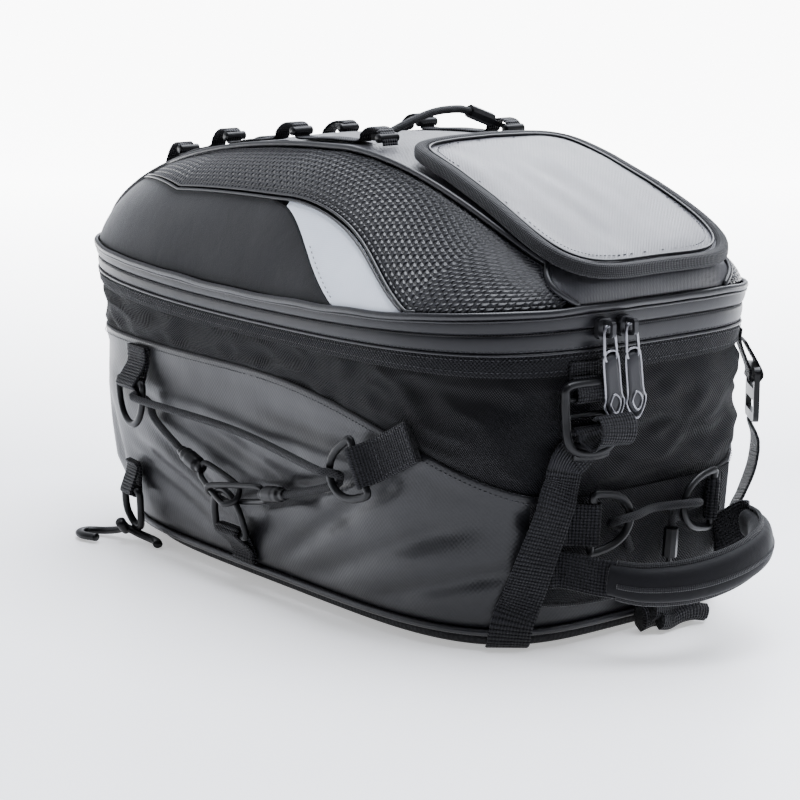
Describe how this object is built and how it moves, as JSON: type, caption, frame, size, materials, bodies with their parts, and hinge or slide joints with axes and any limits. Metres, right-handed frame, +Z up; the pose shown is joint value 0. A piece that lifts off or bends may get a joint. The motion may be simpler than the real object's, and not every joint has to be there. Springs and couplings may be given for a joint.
{
  "type": "expandable motorcycle tail bag",
  "caption": "Expandable soft motorcycle tail bag with zipped lid, reflective side wedges, rear carry handle, elastic cord lacing and ladder-lock corner straps.",
  "frame": {"origin": "on the ground under the middle of the base pad", "axes": "+X towards the rear end with the carry handle and the zip pulls, +Y towards the far side without lacing, +Z up from the ground"},
  "size_m": [0.5374, 0.274, 0.301],
  "materials": {
    "coated_fabric": "satin",
    "twill_nylon": "matte",
    "woven_strip": "matte",
    "zip_tape": "matte",
    "piping": "satin",
    "matte_fabric": "matte",
    "carbon_weave": "gloss",
    "reflector": "satin",
    "grey_twill": "satin",
    "mesh_pad": "matte",
    "webbing": "matte",
    "cord": "matte",
    "plastic": "satin",
    "metal": "satin",
    "black_metal": "satin"
  },
  "bodies": {
    "bag_body": {"base_mesh_pad": "mesh_pad", "base_piping": "piping", "lower_shell": "coated_fabric", "gusset": "twill_nylon", "tab_front_near": "webbing", "ring_front_near": "plastic", "tab_rear_near": "webbing", "ring_rear_near": "plastic", "tab_middle_near": "webbing", "ring_middle_near": "plastic", "tab_front_far": "webbing", "tab_rear_far": "webbing", "tab_middle_far": "webbing", "lacing_cord_near": "cord", "lacing_hook_front_near": "plastic", "lacing_hook_rear_near": "plastic", "tab_rear_face_near": "webbing", "ring_rear_face_near": "plastic", "tab_rear_face_far": "webbing", "ring_rear_face_far": "plastic", "rear_cord": "cord", "rear_cord_hook": "plastic", "handle_anchor_near": "webbing", "handle_anchor_far": "webbing", "corner_strap_near": "webbing", "corner_strap_far": "webbing", "mount_strap_roll": "webbing", "tab_mount_front": "webbing"},
    "upper_ring": {"cuff": "woven_strip", "zip_tape_lower": "zip_tape", "buckle_near": "plastic"},
    "lid": {"zip_tape_upper": "zip_tape", "lid_bead": "piping", "lid_shell": "matte_fabric", "lid_top_panel": "grey_twill", "lid_matte_panel_near": "matte_fabric", "lid_matte_panel_far": "matte_fabric", "lid_reflector_near": "reflector", "lid_reflector_far": "reflector", "lid_carbon_panel_near": "carbon_weave", "lid_carbon_panel_far": "carbon_weave", "ridge_piping_near": "piping", "ridge_piping_far": "piping", "loop_row_near": "webbing", "loop_row_far": "webbing", "top_cord": "cord", "top_cord_hook": "plastic"},
    "flap": {"flap_panel": "grey_twill", "flap_binding": "webbing"},
    "slider_near": {"slider_near": "black_metal"},
    "pull_near": {"pull_near": "metal"},
    "slider_far": {"slider_far": "black_metal"},
    "pull_far": {"pull_far": "metal"},
    "handle": {"handle_grip": "twill_nylon"},
    "ring_front_far": {"ring_front_far": "plastic"},
    "ring_middle_far": {"ring_middle_far": "plastic"},
    "ring_rear_far": {"ring_rear_far": "plastic"},
    "mount_hook": {"mount_hook_front": "plastic"},
    "buckle_far": {"buckle_far": "plastic"}
  },
  "joints": [
    {"name": "expansion", "type": "slide", "parent": "bag_body", "child": "upper_ring", "axis": [0, 0, 1], "range_m": [-0.014, 0.015], "deforming": ["gusset", "corner_strap_near", "corner_strap_far"]},
    {"name": "lid_hinge", "type": "hinge", "parent": "upper_ring", "child": "lid", "pos_m": [-0.241, 0, 0.192], "axis": [0, -1, 0], "range_deg": [0, 105]},
    {"name": "flap_hinge", "type": "hinge", "parent": "lid", "child": "flap", "pos_m": [0.0935, 0, 0.2815], "axis": [0, -1, 0], "range_deg": [0, 100]},
    {"name": "zip_near", "type": "slide", "parent": "upper_ring", "child": "slider_near", "axis": [0, 1, 0], "range_m": [-0.014, 0]},
    {"name": "zip_far", "type": "slide", "parent": "upper_ring", "child": "slider_far", "axis": [0, 1, 0], "range_m": [0, 0.08]},
    {"name": "pull_near_swing", "type": "hinge", "parent": "slider_near", "child": "pull_near", "pos_m": [0.2431, -0.047, 0.1883], "axis": [0, -1, 0], "range_deg": [0, 150]},
    {"name": "pull_far_swing", "type": "hinge", "parent": "slider_far", "child": "pull_far", "pos_m": [0.2433, -0.03, 0.1883], "axis": [0, -1, 0], "range_deg": [0, 150]},
    {"name": "handle_swing", "type": "hinge", "parent": "bag_body", "child": "handle", "pos_m": [0.2525, 0.0055, 0.054], "axis": [-0.0082, 0.9932, 0.1161], "range_deg": [-50, 25], "deforming": ["handle_anchor_near", "handle_anchor_far"]},
    {"name": "ring_front_far_swing", "type": "hinge", "parent": "bag_body", "child": "ring_front_far", "pos_m": [-0.13537, 0.10676, 0.11388], "axis": [0.9871, 0.16, 0], "range_deg": [0, 90]},
    {"name": "ring_middle_far_swing", "type": "hinge", "parent": "bag_body", "child": "ring_middle_far", "pos_m": [-0.02087, 0.11271, 0.03433], "axis": [0.995, 0.1, 0], "range_deg": [0, 90]},
    {"name": "ring_rear_far_swing", "type": "hinge", "parent": "bag_body", "child": "ring_rear_far", "pos_m": [0.12399, 0.13074, 0.10188], "axis": [0.4512, -0.01, -0.8924], "range_deg": [0, 90]},
    {"name": "mount_hook_swing", "type": "hinge", "parent": "bag_body", "child": "mount_hook", "pos_m": [-0.15183, -0.09618, 0.03778], "axis": [-0.9762, 0.217, 0], "range_deg": [0, 60]},
    {"name": "buckle_far_swing", "type": "hinge", "parent": "upper_ring", "child": "buckle_far", "pos_m": [0.21474, 0.11066, 0.14389], "axis": [0.76, -0.65, 0], "range_deg": [0, 35]}
  ]
}
